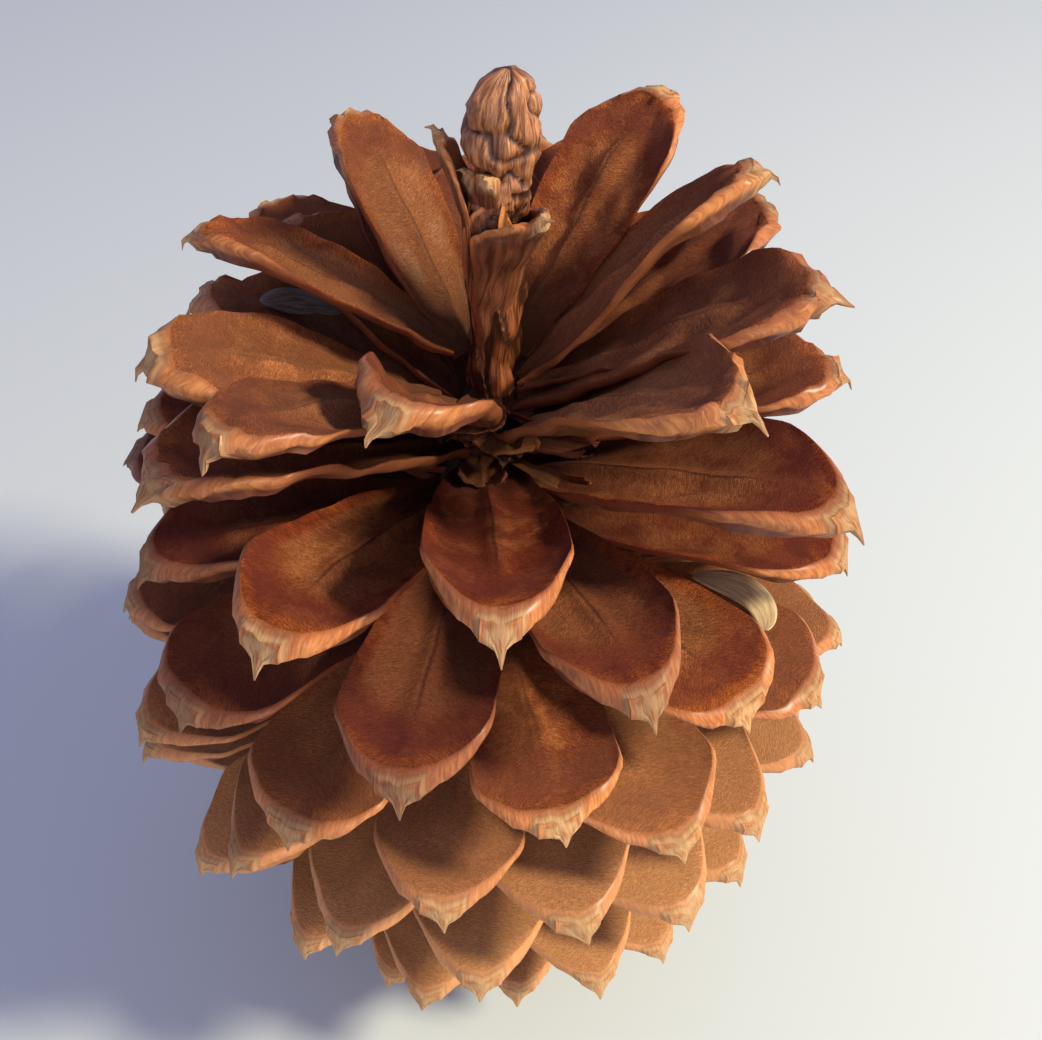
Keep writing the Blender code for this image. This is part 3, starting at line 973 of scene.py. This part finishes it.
stub_flat = read_points(stub_master)
torn = ease(STUB_CUT - 4, STUB_CUT, stub_flat[:, 1])
jag = [noise.noise(Vector((p[0] * 0.9, p[2] * 0.6, 3.0))) for p in stub_flat]
stub_flat[:, 1] += torn * np.array(jag) * TEAR * 2
stub_flat[:, 1] *= FULL_LENGTH / STUB_CUT
stub_flat[:, 0] *= 1.3
stubs = []
for number in BROKEN_SCALES:
    broken = scale_habit(number)
    broken.update({
        "radius": STUB_RADIUS,
        "height": broken["root"] + STUB_CLIMB,
        "half_width": STUB_HALF_WIDTH,
    })
    stub = place_copy(number, broken, f"stub_{number + 24}", stub_flat, stub_master, 1.5)
    stubs.append(stub)
print("stubs:", len(stubs))

# %% Scatter torn flakes round the front roots
# Azimuth, reach, height, root height and half width of each
FLAKES = (
    (-4, 17.0, 134.0, 128.0, 3.6),
    (8, 15.0, 138.0, 131.0, 3.0),
    (-16, 13.0, 139.0, 133.0, 2.6),
    (34, 24.0, 133.0, 126.0, 3.4),
    (44, 21.0, 138.0, 130.0, 2.6),
    (62, 24.0, 151.0, 139.0, 3.2),
    (24, 12.0, 142.0, 136.0, 2.4),
    (-30, 15.0, 141.0, 134.0, 2.8),
)
for index, (azimuth, reach_by, tip_at, root_at, half) in enumerate(FLAKES):
    flake = scale_habit(-18)
    flake.update({"azimuth": math.radians(azimuth), "radius": reach_by, "height": tip_at,
                  "root": root_at, "half_width": half, "cup": 1.5})
    stubs.append(place_copy(-60 + index, flake, f"flake_{index}", stub_flat, stub_master, 2.4))
torn_stubs = join_pieces(stubs, "torn_stubs")
finished.append(torn_stubs)
print("stubs and flakes:", len(stubs), "with", len(torn_stubs.data.polygons), "faces")

# %% [markdown]
# ## Two seed wings
#
# Each seed had a papery wing, and two are still lodged between scales. A wing is a thin
# curved strip: a grid, bent along a curve over its scale's face, then given its thickness.
# Fine veins run along it.

# %% Lay the wings on their scales
WING_SPOTS = {
    "wing_right": (24, (37.0, 9.5), (50.0, 13.5), (52.5, 4.0)),
    "wing_left": (-6, (27.0, -7.0), (33.0, -5.5), (37.5, 1.0)),
}
WING_HALF_WIDTH = 2.8
WING_SKIN = 0.35 * MM
WING_LIFT = 1.0


def lay_wing(name):
    number, *corners = WING_SPOTS[name]
    start, bend, end = (np.array(corner) for corner in corners)
    habit = scale_habit(number)
    bpy.ops.object.select_all(action="DESELECT")
    bpy.ops.mesh.primitive_grid_add(x_subdivisions=8, y_subdivisions=28, size=2)
    wing = bpy.context.object
    wing.name = name
    spots = read_points(wing)
    share = (spots[:, 1:2] + 1) / 2
    middle = start * (1 - share) ** 2 + bend * 2 * share * (1 - share) + end * share**2
    way = (bend - start) * (1 - share) + (end - bend) * share
    way /= np.linalg.norm(way, axis=1, keepdims=True)
    blunt = np.sqrt(np.clip(1 - (2 * share - 1) ** 2, 0.03, 1))
    aside = np.stack([way[:, 1], -way[:, 0]], 1) * spots[:, :1] * WING_HALF_WIDTH * blunt
    on_face = middle + aside
    size = habit["half_width"] / FULL_HALF_WIDTH
    chord = math.hypot(habit["radius"], habit["height"] - habit["root"])
    stretch = min(max(FULL_LENGTH * size / chord, 1.0), TIP_STRETCH)
    flat = np.stack([
        on_face[:, 1] / size,
        FULL_LENGTH * (1 - (1 - on_face[:, 0] / habit["radius"]) / stretch),
        np.full(len(spots), WING_LIFT) + 0.25 * np.sin(spots[:, 1] * 4) * spots[:, 0],
    ], 1)
    write_points(wing, bend_points(flat, habit))
    keep_vectors(wing, "vein", np.stack([spots[:, 0], spots[:, 1], spots[:, 2]], 1))
    solid = wing.modifiers.new("skin", "SOLIDIFY")
    solid.thickness = WING_SKIN
    solid.offset = 0
    bpy.ops.object.modifier_apply(modifier="skin")
    bpy.ops.object.shade_smooth()
    return wing


def paper_finish(name, thin, thick, roughness):
    """Write a papery finish with fine veins along the wing."""
    paper = Finish(name, roughness)
    vein_across, vein_along, unused = paper.kept("vein")
    veins = paper.grain(paper.vector(vein_across * 5.0, vein_along * 1.6, 0.0), 1.0, 3.0, 0.6, 0.2)
    colour = paper.mix(paper.mask(0.35, 0.65, veins), thin, thick)
    paper.set(Base_Color=colour, Normal=paper.bump(veins, 0.0001, 0.5))
    return paper.material


pale_paper = paper_finish("pale_wing", (0.50, 0.31, 0.15), (0.74, 0.54, 0.30), 0.45)
dark_paper = paper_finish("dark_wing", (0.10, 0.070, 0.050), (0.26, 0.200, 0.160), 0.5)
wings = {}
for name, paper in (("wing_right", pale_paper), ("wing_left", dark_paper)):
    wings[name] = lay_wing(name)
    wings[name].data.materials.append(paper)
print("wings:", [np.round((read_points(w).max(0) - read_points(w).min(0)) / MM, 1).tolist()
                 for w in wings.values()])

# %% [markdown]
# ## Tie the pieces to the frame
#
# Every piece rides on the one body. The woody pieces stand for the plain cone, and each wing
# for its own plain solid. The masters were only patterns, so they go.

# %% Ride, replace and finish
for piece in (master, stub_master):
    bpy.data.objects.remove(piece)
for piece in finished:
    if not piece.data.materials:
        piece.data.materials.append(wood.material)
    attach(piece, "root")
    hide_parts("cone")
for name, piece in wings.items():
    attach(piece, "root")
    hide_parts("seed_" + name)
